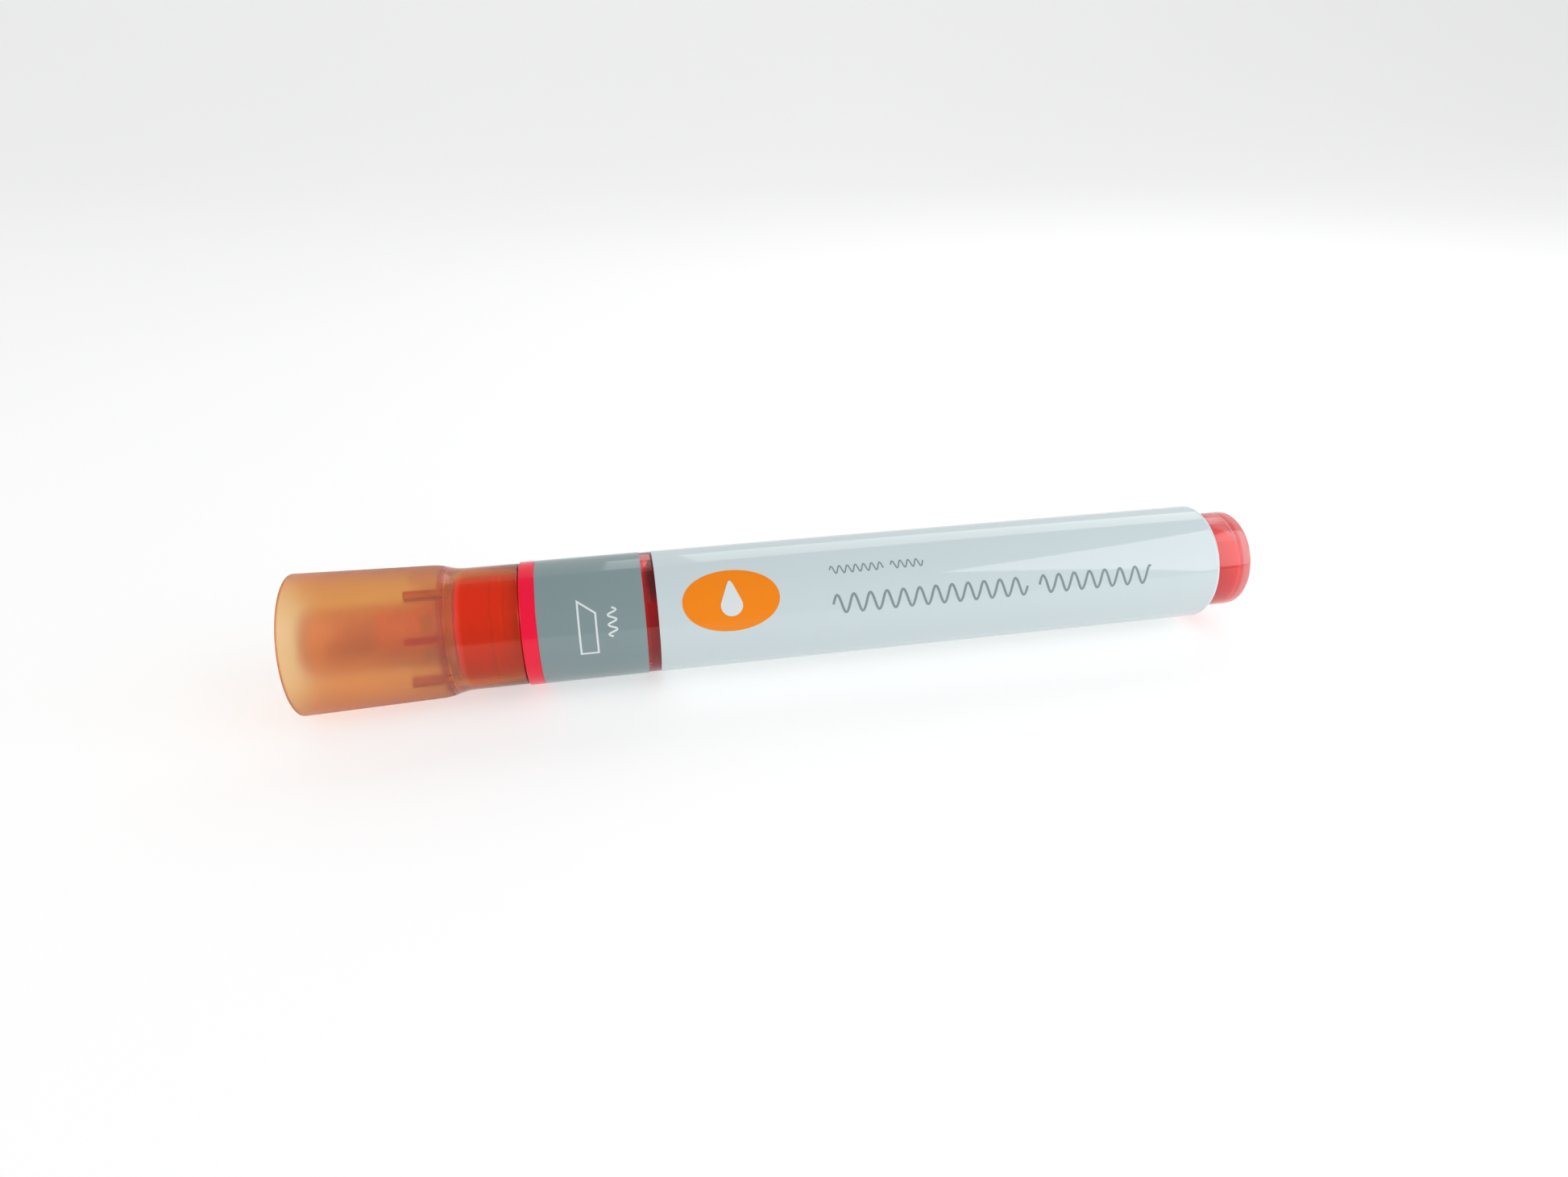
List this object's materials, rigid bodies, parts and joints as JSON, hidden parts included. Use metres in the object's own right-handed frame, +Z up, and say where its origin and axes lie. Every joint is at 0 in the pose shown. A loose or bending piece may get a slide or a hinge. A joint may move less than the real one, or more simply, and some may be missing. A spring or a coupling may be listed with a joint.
{
  "type": "whiteboard marker",
  "caption": "Round whiteboard marker with a pull-off flared translucent cap over a chisel nib, a clear ink tank, a printed film sleeve and a posting stub at the tail.",
  "frame": {"origin": "middle of the marker's length, on the surface it lies on, straight below its axis", "axes": "+X along the pen from the cap to the posting stub, +Z up, the pen's axis parallel to X at the height of the cap mouth's radius"},
  "size_m": [0.1354, 0.019, 0.0189],
  "materials": {
    "clear_plastic": "clear",
    "plug_plastic": "clear, tinted by the ink",
    "red_plastic": "gloss",
    "holder_plastic": "satin",
    "felt": "soaked fibre",
    "wick_fibre": "soaked fibre",
    "collector_plastic": "satin, stained by the ink",
    "seal_plastic": "satin, stained by the ink",
    "ink_red": "liquid",
    "band_film": "printed film",
    "label_film": "printed film",
    "cap_orange": "frosted skirt, polished sleeve",
    "inner_orange": "frosted"
  },
  "bodies": {
    "pen": {"barrel": "clear_plastic", "tail_plug": "plug_plastic", "front_section": "red_plastic", "nib_holder": "holder_plastic", "nib": "felt", "wick": "wick_fibre", "collector": "collector_plastic", "tank_seal": "seal_plastic", "ink": "ink_red", "band_label": "band_film", "main_label": "label_film"},
    "cap": {"cap_shell": "cap_orange", "inner_cap": "inner_orange"}
  },
  "joints": [
    {"name": "cap_pull", "type": "slide", "parent": "pen", "child": "cap", "axis": [-1, 0, 0], "range_m": [0, 0.04]}
  ]
}
